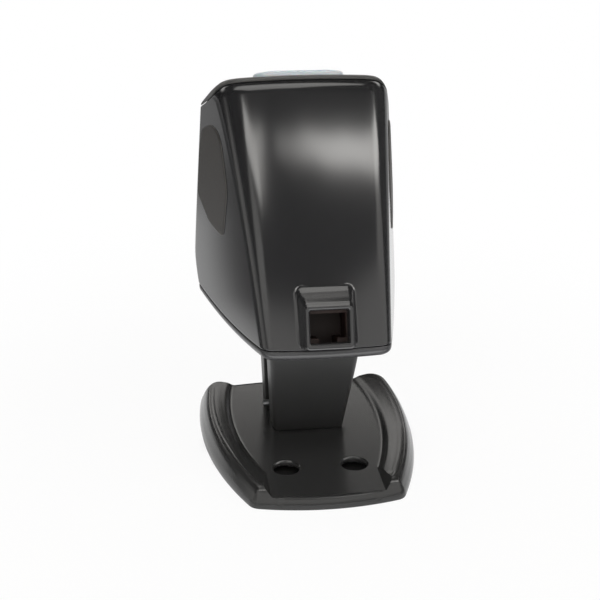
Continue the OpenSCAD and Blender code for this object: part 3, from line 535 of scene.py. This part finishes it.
low = [(s, 3.4, -TRAY_H) for s in inward]
low += [(1, EDGE_IN + 3.2 * (1 - np.sin(a)), -1.3 - 2.4 * np.cos(a)) for a in roll]
low += [(1, EDGE_IN, -0.6), (1, 0.2, -0.38), (1, 0.45, -0.25), (1, 2.5, -0.25)]
low += [(1, 2.6, 1.9), (1, 3.7, 1.9), (1, 3.7, -1.5)] + [(s, 3.7, -1.5) for s in inward[::-1]]
pan = lid_rings(low, tray_mid, zero, lambda x, y: seam_low(y))
tray = ring_stack("belly_tray", place_head(pan))
SLOT_AT = 33.4
loop = rounded_loop(17.5, 16.6, 2)
slot_row = lambda z: np.stack([loop[:, 0], loop[:, 1] - SLOT_AT, 0 * loop[:, 0] + z], -1)
slot_rows = np.stack([slot_row(z) for z in (-10, 50)])
carve(tray, [ring_stack("slot", place_head(slot_rows)),
             port_prism("socket", 7.7, 9.0, 0.3, -16, -2.2, 13.9)])
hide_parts("bottom_tray")
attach(tray, "head")
report(tray)

# %% [markdown]
# The button is a translucent cap. Its top is a shallow arch from side to side, so the height of
# each row of its outline bends with x, and its rim is rounded where it meets the sides.

# %% Button
CROWN_R = 220.0
crown = lambda x: np.sqrt(CROWN_R ** 2 - x * x) - CROWN_R
rows = [(-1.0, 91.0, 0), (0, 91.0, 0), (0, HEAD_H, 0), (-0.02, HEAD_H + 1.55, 1)]
rows += [(-0.12, HEAD_H + 1.8, 1), (-0.35, HEAD_H + 2.02, 1), (-0.75, HEAD_H + 2.18, 1)]
rows += [(-1.3, HEAD_H + 2.27, 1)]
grid = []
for grow, z, bend in rows:
    loop = button_loop(grow)
    grid.append(button_row(loop, z + bend * crown(loop[:, 0])))
for share in np.linspace(0.9, 0.1, 9):
    loop = button_loop(-1.3) * share
    grid.append(button_row(loop, HEAD_H + 2.3 + crown(loop[:, 0])))
cap = ring_stack("button_cap", place_head(np.stack(grid)))
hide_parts("top_button")
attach(cap, "button")
report(cap)

# %% [markdown]
# The base is a pan with raised rims. Its height is a field over its outline: an outer shoulder
# that rises from the edge, and a bowl that falls gently from the rim's crest, then steps down to
# the floor. The lower of the two is the surface, so the far side, which has no rim, runs out flat.

# %% Base field
BASE_HW, BASE_BACK, BASE_FRONT = 37.2, 48.4, 48.4 - 86.4
BASE_BACK_R, BASE_SIDE_R, BASE_FRONT_R = 91.0, 125.0, 160.0
BASE_SIDE_C = np.array([BASE_HW - BASE_SIDE_R, mix(BASE_FRONT, BASE_BACK, 0.345)])
BACK_CORNER_R, FAR_CORNER_R = 4.5, 10.0
FLOOR, RIM, RIM_DROP, UNDERSIDE = 4.2, 8.4, 1.7, 2.65
SHOULDER_END = 5.2


def base_plan(inset, counts=(60, 14, 120, 20, 60)):
    """The base's outline, shrunk by an inset."""
    return outline(BASE_BACK, BASE_BACK_R, BACK_CORNER_R, BASE_SIDE_C, BASE_SIDE_R, FAR_CORNER_R,
                   BASE_FRONT, BASE_FRONT_R, inset, counts)


def rim_top(y):
    """Height of the rim, which falls towards the back."""
    return RIM - RIM_DROP * np.clip((y - 10) / 32, 0, 1) ** 1.5


def blend(v, at, share, reach):
    """A line through given points, averaged over a reach to both sides, so it has no corners."""
    return sum(np.interp(v + reach * d, at, share) for d in np.linspace(-1, 1, 7)) / 7


def bowl_height(x, y):
    """The bowl's floor and inner banks, from the distances to the side edge and the back edge."""
    side = BASE_SIDE_R - np.hypot(np.abs(x) - BASE_SIDE_C[0], y - BASE_SIDE_C[1])
    near = BASE_BACK_R - np.hypot(x, y - (BASE_BACK - BASE_BACK_R))
    share = [1.1, 1.04, 0.97, 0.78, 0.47, 0.4, 0.2, 0.05, 0, 0]
    s1 = blend(side, [2.4, 3.6, 4.6, 6.6, 9.1, 9.7, 10.4, 11.0, 11.5, 60], share, 0.7)
    s2 = blend(near, [3.6, 4.4, 5.0, 6.6, 8.3, 8.7, 9.3, 9.8, 10.3, 60], share, 0.5)
    return mix(FLOOR, rim_top(y), (s1 ** 6 + s2 ** 6) ** (1 / 6))


def shoulder(inset, y):
    """Height of the outer shoulder at an inset from the edge."""
    share = np.interp(inset, [0, 0.25, 0.6, 1.1, 1.7, 2.4, 3.2, 4.0, SHOULDER_END],
                      [0.12, 0.3, 0.43, 0.57, 0.74, 0.88, 0.97, 1.01, 1.05])
    return mix(0.2, rim_top(y), share) + np.maximum(inset - SHOULDER_END, 0) * 4


def lower_of(a, b, soft=0.12):
    """The lower of two heights, with a round crest where they meet."""
    low = 0.5 * (a + b - np.sqrt((a - b) ** 2 + soft))
    return low + 0.5 * np.sqrt(soft) * np.exp(-((a - b) ** 2))


inset = np.concatenate([np.linspace(0, 1, 9), np.linspace(1.2, 6, 22)])
plan = base_plan(inset)
last = plan[-1]
share = np.linspace(0, 0.97, 84)[1:, None]
axis = np.stack([0 * last[:, 0], np.clip(last[:, 1], -18, 24)], -1)
fill = last[None] + (axis - last)[None] * share[..., None]
points = np.concatenate([plan, fill])
x, y = points[..., 0], points[..., 1]
depth = np.concatenate([inset, np.full(len(share), 9.0)])[:, None]
top = np.stack([x, y, lower_of(shoulder(depth, y), bowl_height(x, y))], -1)
under = base_plan(np.array([2.2, 2.2, 1.9, 0.5, 0.15]))
lows = np.array([UNDERSIDE, 0.45, 0.22, 0.2, 0.3])[:, None] + 0 * under[..., 0]
under = np.concatenate([under, lows[..., None]], -1)
ceiling = np.stack([under[0] * [size, size, 1] for size in (0.1, 0.5)])
base = ring_stack("base_pan", np.concatenate([ceiling, under, top]) * MM, sharp=60)
report(base)

# %% [markdown]
# The rim is open at the back, with sloping ends, and two counterbored holes take desk screws.
# The cutters for the holes are profiles turned about an upright axis, and their mouths flare a
# little, so the edge that catches the light is round. One more cutter follows the front edge of
# the open floor and rounds it: its section is an arc that ends in a slope down to the desk.

# %% Cut the base
def turned(name, profile, at, n=72):
    """A profile of (radius, height) pairs turned about an upright axis."""
    a = -np.linspace(0, 2 * np.pi, n, endpoint=False)
    ring = lambda r, h: np.stack([at[0] + r * np.cos(a), at[1] + r * np.sin(a), 0 * a + h], -1)
    return ring_stack(name, np.stack([ring(r, h) for r, h in profile]) * MM)


LIP, SLOPE = 18.8, 4.5
HOLE_X, HOLE_Y = 11.65, 26.5
KEEP_OFF = 0.01
right_end = [[LIP, FLOOR], [LIP + 0.25, FLOOR + 0.1], [LIP + SLOPE, FLOOR + 4.9], [LIP + SLOPE, 20]]
lip = np.array([[-LIP, FLOOR]] + right_end + [[-x, z] for x, z in right_end[:0:-1]])
lip_row = lambda d: np.stack([lip[:, 0], 0 * lip[:, 0] + d, lip[:, 1] - KEEP_OFF], -1)
lip_rows = np.stack([lip_row(22.0), lip_row(80.0)]) * MM
bore = [(2.25, -3), (2.25, 1.8), (4.3, 1.8), (4.3, 3.6),
        (4.36, 3.7), (4.85, 4.18), (4.95, 4.24), (5.1, 9)]
holes = [turned("bore", bore, (x, HOLE_Y)) for x in (-HOLE_X, HOLE_X)]

# The edge cutter: how far in from the base's edge each of its points lies, and how high.
xs = np.linspace(-LIP - 0.1, LIP + 0.1, 90)[:, None]
fade = np.clip((LIP - np.abs(xs)) / SLOPE, 0, 1)
start = 1.3 + 1.7 * fade * fade * (3 - 2 * fade)
bow = np.radians(np.linspace(0, 62, 13))[None]
bow_r = 0.2 + 0.9 * (start - 1.2)
outside = -1.5 + 0 * xs
arc_in, arc_up = start - bow_r * np.sin(bow), bow_r * (np.cos(bow) - 1)
slope_end = arc_up[:, -1:] - (arc_in[:, -1:] - outside) * 1.9
above = 3 + 0 * xs
points_in = np.concatenate([start + 0.6, arc_in, outside, outside, start + 0.6], 1)
height = FLOOR + KEEP_OFF + np.concatenate([0 * xs, arc_up, slope_end, above, above], 1)
along = BASE_BACK - BASE_BACK_R + np.sqrt((BASE_BACK_R - points_in) ** 2 - xs ** 2)
edge_rows = np.stack([xs + 0 * along, along, height], -1)[:, ::-1] * MM
carve(base, [ring_stack("lip", lip_rows), ring_stack("edge", edge_rows)] + holes, sharp=45)
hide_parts("base_shell")
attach(base, "stand")
report(base)

# %% [markdown]
# The neck's two covers are lofts: level rings whose width grows with height and whose middle
# leans back with the neck. Each is closed at the foot and at the top, and has round upright edges.
# The rear cover's face bends forward a little near its top.

# %% Neck covers
NECK_LEAN = np.radians(17.7)
FOOT_HW, TOP_HW, NECK_RISE = 12.3, 15.8, 38.5
NECK_FLARE, NECK_DEPTH, NECK_BACK = 0.9, 23, 10
BEND_FROM, BEND_TO = 27, 41
foot_y = AXLE_Y - (AXLE_Z - FLOOR) * np.tan(NECK_LEAN)


def forward_bend(z):
    """How far the rear face lies forward of its straight line, curved first and then straight."""
    return 0.0075 * (np.clip(z, BEND_FROM, BEND_TO) - BEND_FROM) ** 2 + 0.21 * max(z - BEND_TO, 0)


def neck_rows(front, back, r_front, r_back, z, shrink):
    """Rounded outline at height z: its width and its place both follow the height."""
    hw = mix(FOOT_HW, TOP_HW, np.clip((z - FLOOR) / NECK_RISE, 0, 1)) - shrink
    flare = lambda v: NECK_FLARE * (NECK_BACK - v) / NECK_DEPTH
    mid = foot_y + (z - FLOOR) * np.tan(NECK_LEAN)
    bend = forward_bend(z) if back > 0 else 0
    f = mid + front / np.cos(NECK_LEAN) + shrink
    b = mid + back / np.cos(NECK_LEAN) - shrink - bend
    hf, hb = hw + flare(front), hw + flare(back)
    a = np.linspace(0, np.pi / 2, 9)

    def corner(x, y, r, start):
        return np.stack([x + r * np.cos(start - a), y + r * np.sin(start - a), 0 * a + z], -1)

    return np.concatenate([
        corner(hb - r_back, b - r_back, r_back, np.pi / 2),
        corner(hf - r_front, f + r_front, r_front, 0),
        corner(-hf + r_front, f + r_front, r_front, -np.pi / 2),
        corner(-hb + r_back, b - r_back, r_back, np.pi)])


levels = [(4.3, 0.25), (4.45, 0.05), (4.8, 0)] + [(z, 0) for z in np.linspace(6, 46, 21)]
levels += [(46.7, 0.1), (47, 0.4)]
covers = (("neck_rear_cover", 1.8, NECK_BACK, 0.6, 2.2),
          ("neck_front_cover", NECK_BACK - NECK_DEPTH, -5.4, 2.2, 0.6))
for name, front, back, rf, rb in covers:
    grid = np.stack([neck_rows(front, back, rf, rb, z, shrink) for z, shrink in levels])
    skin = ring_stack(name + "_skin", grid * MM)
    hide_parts(name)
    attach(skin, "stand")
    report(skin)

# %% [markdown]
# Materials are built from nodes that read Object coordinates, so a grain keeps its size wherever
# the surface lies. Each finish has a base colour that drifts a little, a roughness that varies
# with a fine noise, and a bump at the scale of the real grain.

# %% Materials
CLOUD_SCALE, COAT_ROUGH, BUMP_HEIGHT = 35, 0.12, 0.0001


def finish(name, color, rough, metal=0.0, grain=0.0, grain_scale=3000,
           drift=0.06, coat=0.0, spread=0.05, **sockets):
    """A surface whose colour drifts, whose roughness varies and whose grain is a fine bump."""
    mat = bpy.data.materials.new(name)
    mat.use_nodes = True
    nodes, links = mat.node_tree.nodes, mat.node_tree.links
    shader = nodes["Principled BSDF"]
    shader.inputs["Metallic"].default_value = metal
    shader.inputs["Coat Weight"].default_value = coat
    shader.inputs["Coat Roughness"].default_value = COAT_ROUGH
    for key, value in sockets.items():
        shader.inputs[key.replace("_", " ")].default_value = value
    place = nodes.new("ShaderNodeTexCoord")

    def noise(scale, detail):
        made = nodes.new("ShaderNodeTexNoise")
        made.inputs["Scale"].default_value = scale
        made.inputs["Detail"].default_value = detail
        links.new(place.outputs["Object"], made.inputs["Vector"])
        return made.outputs["Fac"]

    cloud, fine = noise(CLOUD_SCALE, 3), noise(grain_scale, 2)
    tint = nodes.new("ShaderNodeMix")
    tint.data_type = "RGBA"
    tint.inputs[6].default_value = [c * (1 - drift) for c in color] + [1]
    tint.inputs[7].default_value = [min(1, c * (1 + drift)) for c in color] + [1]
    links.new(cloud, tint.inputs[0])
    links.new(tint.outputs[2], shader.inputs["Base Color"])
    level = nodes.new("ShaderNodeMapRange")
    level.inputs["To Min"].default_value = rough - spread
    level.inputs["To Max"].default_value = rough + spread
    links.new(fine, level.inputs["Value"])
    links.new(level.outputs["Result"], shader.inputs["Roughness"])
    if grain:
        bump = nodes.new("ShaderNodeBump")
        bump.inputs["Strength"].default_value = grain
        bump.inputs["Distance"].default_value = BUMP_HEIGHT
        links.new(fine, bump.inputs["Height"])
        links.new(bump.outputs["Normal"], shader.inputs["Normal"])
    return mat


looks = {
    "housing": finish("black satin plastic", (0.020, 0.020, 0.021), 0.145, drift=0.05,
                      spread=0.015, Specular_IOR_Level=0.6),
    "cover": finish("charcoal satin", (0.055, 0.054, 0.052), 0.38, grain=0.1, spread=0.04),
    "tray": finish("tray satin", (0.034, 0.034, 0.036), 0.3, grain=0.1, spread=0.04),
    "grip": finish("moulded grip grain", (0.042, 0.039, 0.036), 0.5, grain=0.5,
                   grain_scale=1400, drift=0.12),
    "base": finish("base satin", (0.026, 0.026, 0.026), 0.22, grain=0.1, drift=0.05,
                   spread=0.04),
    "neck": finish("neck satin", (0.028, 0.028, 0.028), 0.45, grain=0.1, spread=0.04),
    "spine": finish("coated casting", (0.02, 0.02, 0.021), 0.45, grain=0.3),
    "steel": finish("zinc plated sheet", (0.6, 0.61, 0.62), 0.32, metal=1.0, grain=0.15),
    "fastener": finish("plated fastener", (0.4, 0.41, 0.42), 0.35, metal=1.0, grain=0.1),
    "washer": finish("acetal", (0.8, 0.78, 0.72), 0.4),
    "feet": finish("foot rubber", (0.02, 0.02, 0.02), 0.75, grain=0.3),
    "bezel": finish("gloss black", (0.012, 0.012, 0.013), 0.12, coat=0.3, spread=0.02),
    "window": finish("red glass", (0.22, 0.01, 0.015), 0.06, spread=0.02,
                     Transmission_Weight=0.85, IOR=1.5),
    "gasket": finish("gasket rubber", (0.02, 0.02, 0.02), 0.7),
    "chassis": finish("filled nylon", (0.03, 0.03, 0.032), 0.5, grain=0.2),
    "board": finish("solder resist", (0.015, 0.11, 0.045), 0.3, drift=0.2),
    "socket": finish("socket moulding", (0.02, 0.010, 0.008), 0.5, Specular_IOR_Level=0.3),
    "barrel": finish("matt barrel", (0.015, 0.015, 0.015), 0.6, grain=0.3),
    "lens": finish("clear glass", (0.9, 0.95, 0.97), 0.04, spread=0.01,
                   Transmission_Weight=0.95, IOR=1.5),
    "leds": finish("clear epoxy", (0.8, 0.78, 0.66), 0.12),
    "switch": finish("switch moulding", (0.2, 0.21, 0.23), 0.4),
    "buzzer": finish("buzzer case", (0.02, 0.02, 0.02), 0.5),
    "button": finish("milky button", (0.66, 0.70, 0.74), 0.3, drift=0.02,
                     Subsurface_Weight=0.2),
}
slot_of = {s["node"]: s["material_slot"] for s in frame["record"]["subparts"]}
for node, obj in frame["nodes"].items():
    obj.data.materials.clear()
    obj.data.materials.append(looks[slot_of[node]])
dressed = {
    "housing_shell": "housing", "port_hood": "housing",
    "left_grip_pad": "grip", "right_grip_pad": "grip",
    "top_lid": "cover", "belly_tray": "tray", "button_cap": "button", "base_pan": "base",
    "neck_rear_cover_skin": "neck", "neck_front_cover_skin": "neck",
}
for name, key in dressed.items():
    mesh = bpy.data.objects[name].data
    mesh.materials.clear()
    mesh.materials.append(looks[key])
print("materials", len(looks))

# %% [markdown]
# The floor is a pale plane. The camera sees mostly the floor's own even light, so it stays
# white and still keeps a faint shadow. Under the base the floor's colour is painted near black,
# a painted shade that the screw holes show. Mirrored and scattered rays see a second field,
# because a dark shell shows the floor as much as the lamps. That field is bright between the base
# and the camera, close round the base, and again beyond the head. The sky is dim except for the
# camera.

# %% Floor
steps = [np.arange(0, 0.06, 0.003), np.arange(0.06, 0.42, 0.008), [0.42, 1.0, 3.0]]
outward = np.concatenate(steps)
lines = np.concatenate([-outward[:0:-1], outward])
gx, gy = np.meshgrid(lines, lines)
# Painted shade: the floor's colour under the base, where only shade falls.
PAINTED_SHADE = 0.02
SKY_SEEN, SKY_LIGHT = 1.0, 0.08


def ease(v, low, high):
    """0 below low and 1 above high, with a smooth cubic between them."""
    w = np.clip((v - low) / (high - low), 0, 1)
    return w * w * (3 - 2 * w)


def own_share(x, y):
    """How much of the floor is its own light: none under the base, all of it far away.

    The same share sets the floor's colour, which is painted near black under the base as shade.
    """
    r = np.hypot(x, y)
    return 0.93 * ease(r, 0.0335, 0.0368) + 0.07 * ease(r, 0.07, 0.24)


def mirrored(x, y):
    """What a mirrored ray sees: bright on the camera's side, close round the base, and beyond it.

    The light beyond the base ends at a curved edge on the +X side."""
    r = np.hypot(x, y)
    past = np.maximum(-y - 0.12, 0)
    edge = x - (0.117 + 0.42 * past + past * past)
    beyond = (1 - ease(edge, -0.017, 0.011)) * (1 - 0.62 * ease(r, 0.24, 0.34))
    beyond = beyond * (1 - ease(y, -0.02, 0.04))
    near = 3.4 * ease(y, 0.06, 0.12) * (1 - ease(r, 0.3, 0.5))
    beside = 1 - ease(r, 0.058, 0.084)
    return (0.10 + np.maximum(beyond, beside) + near) * ease(r, 0.034, 0.038)


n = len(lines)
i = np.arange(n - 1)[:, None] * n + np.arange(n - 1)[None]
cells = np.stack([i, i + 1, i + n + 1, i + n], -1).reshape(-1, 4)
floor = link_mesh("floor", np.stack([gx, gy, 0 * gx], -1).reshape(-1, 3), [cells])
field = floor.data.attributes.new("light", "FLOAT_COLOR", "POINT")
own = own_share(gx, gy)
# The third channel is the floor's colour: painted shade, near black, under the base, pale
# elsewhere.
level = np.stack([own, mirrored(gx, gy), PAINTED_SHADE + 0.95 * own, 0 * gx + 1], -1)
field.data.foreach_set("color", level.astype(np.float32).ravel())
mat = bpy.data.materials.new("pale floor")
mat.use_nodes = True
nodes, links = mat.node_tree.nodes, mat.node_tree.links
nodes.clear()
out = nodes.new("ShaderNodeOutputMaterial")
field = nodes.new("ShaderNodeAttribute")
field.attribute_name = "light"
part = nodes.new("ShaderNodeSeparateColor")
path = nodes.new("ShaderNodeLightPath")
lit = nodes.new("ShaderNodeBsdfDiffuse")
white = nodes.new("ShaderNodeEmission")
other = nodes.new("ShaderNodeEmission")
seen = nodes.new("ShaderNodeMixShader")
choose = nodes.new("ShaderNodeMixShader")
links.new(field.outputs["Color"], part.inputs[0])
links.new(part.outputs[0], seen.inputs[0])
links.new(part.outputs[2], lit.inputs["Color"])
links.new(lit.outputs[0], seen.inputs[1])
links.new(white.outputs[0], seen.inputs[2])
links.new(part.outputs[1], other.inputs["Strength"])
links.new(path.outputs["Is Camera Ray"], choose.inputs[0])
links.new(other.outputs[0], choose.inputs[1])
links.new(seen.outputs[0], choose.inputs[2])
links.new(choose.outputs[0], out.inputs["Surface"])
floor.data.materials.append(mat)

world = bpy.data.worlds.new("studio")
bpy.context.scene.world = world
world.use_nodes = True
nodes, links = world.node_tree.nodes, world.node_tree.links
sky = nodes["Background"]
sky.inputs["Color"].default_value = (1.0, 1.0, 1.0, 1)
path = nodes.new("ShaderNodeLightPath")
dim = nodes.new("ShaderNodeMapRange")
dim.inputs["To Min"].default_value = SKY_LIGHT
dim.inputs["To Max"].default_value = SKY_SEEN
links.new(path.outputs["Is Camera Ray"], dim.inputs["Value"])
links.new(dim.outputs["Result"], sky.inputs["Strength"])
print("floor", floor.data.name, "cells", len(floor.data.polygons))

# %% [markdown]
# A dark glossy shell shows the room more than itself, so the room is built from what the shell
# shows: two patches of a sphere round the head, one behind the camera and one across from it.
# Azimuth is counted from +Y towards +X. The glow of a patch is a formula, kept as a mesh
# attribute. Rays from the camera pass through the patches, so no view shows them.

# %% The room's light
ROOM_R, ROOM_MID = 1.5, [0, 0, 0.08]
WARM = np.array([1.0, 0.985, 0.955, 1.0])
glow_mat = bpy.data.materials.new("glow")
glow_mat.use_nodes = True
nodes, links = glow_mat.node_tree.nodes, glow_mat.node_tree.links
nodes.clear()
out = nodes.new("ShaderNodeOutputMaterial")
shine = nodes.new("ShaderNodeEmission")
field = nodes.new("ShaderNodeAttribute")
field.attribute_name = "glow"
path = nodes.new("ShaderNodeLightPath")
clear = nodes.new("ShaderNodeBsdfTransparent")
choose = nodes.new("ShaderNodeMixShader")
links.new(field.outputs["Color"], shine.inputs["Color"])
links.new(path.outputs["Is Camera Ray"], choose.inputs[0])
links.new(shine.outputs[0], choose.inputs[1])
links.new(clear.outputs[0], choose.inputs[2])
links.new(choose.outputs[0], out.inputs["Surface"])


def bump(v, low, high, soft):
    """1 between low and high, falling smoothly to 0 over a soft width outside them."""
    w = np.clip(np.minimum(v - low, high - v) / soft + 1, 0, 1)
    return w * w * (3 - 2 * w)


def strip(a, e):
    """The main lamp: a long strip that gets lower, taller and brighter towards -X."""
    at = [-92, -80, -70, -60, -42, -18, 8]
    middle = np.interp(a, at, [31, 37.5, 44, 50.5, 57.8, 63.3, 64.8])
    half = np.interp(a, at, [3.5, 4.0, 3.6, 3.0, 2.3, 1.7, 1.3])
    power = np.interp(a, [-92, -60, -42, -25, -14, -5, 8], [8, 8.8, 10.3, 9.6, 6.6, 4.0, 2.8])
    return power * bump(e, middle - half, middle + half, 1.2) * bump(a, -90, 6.5, 1.5)


def corner(a, e):
    """The lamp at the other side: a curved band that falls as it turns away."""
    low = np.interp(a, [17, 36, 48, 66], [56, 55.5, 54, 50])
    high = np.interp(a, [17, 32, 52, 66], [66, 64, 61.5, 58])
    return 6.0 * bump(a, 18, 64, 3) * bump(e, low, high, 2)


def near_room(a, e):
    """Behind the camera: the two lamps, a glow below them, and a wall that is low at its side."""
    glow = 1.3 * bump(a, 32, 62, 8) * bump(e, 24, 46, 5)
    wall = 1.15 * bump(a, -74, 44, 14) * bump(e, 8, 39, 4)
    side = 0.95 * bump(a, 44, 108, 12) * bump(e, -2, 10, 12)
    return strip(a, e) + corner(a, e) + np.maximum(np.maximum(glow, wall), side)


def far_room(a, e):
    """Across from the camera: a pale band about 20 degrees up, and a large lamp above it."""
    wall = 1.9 * bump(a, 140, 222, 10) * bump(e, 15.5, 23.6, 2.2)
    return wall + 2.2 * bump(a, 104, 216, 10) * bump(e, 54, 80, 5)


def patch(name, az, el, glow, n):
    """A patch of a sphere; az and el are its limits in degrees, n its rows each way."""
    a, e = np.meshgrid(np.linspace(*az, n[0]), np.linspace(*el, n[1]))
    ra, re = np.radians(a), np.radians(e)
    p = np.stack([np.sin(ra) * np.cos(re), np.cos(ra) * np.cos(re), np.sin(re)], -1) * ROOM_R
    i = np.arange(n[1] - 1)[:, None] * n[0] + np.arange(n[0] - 1)[None]
    faces = np.stack([i, i + n[0], i + n[0] + 1, i + 1], -1).reshape(-1, 4)
    obj = link_mesh(name, p.reshape(-1, 3) + ROOM_MID, [faces])
    field = obj.data.attributes.new("glow", "FLOAT_COLOR", "POINT")
    level = glow(a, e).reshape(-1, 1) * WARM
    field.data.foreach_set("color", level.astype(np.float32).ravel())
    obj.data.materials.append(glow_mat)
    return obj


patches = [patch("near_room", (-96, 122), (-2, 72), near_room, (292, 100)),
           patch("far_room", (124, 234), (-2, 88), far_room, (76, 80))]
print("room patches", [obj.name for obj in patches])
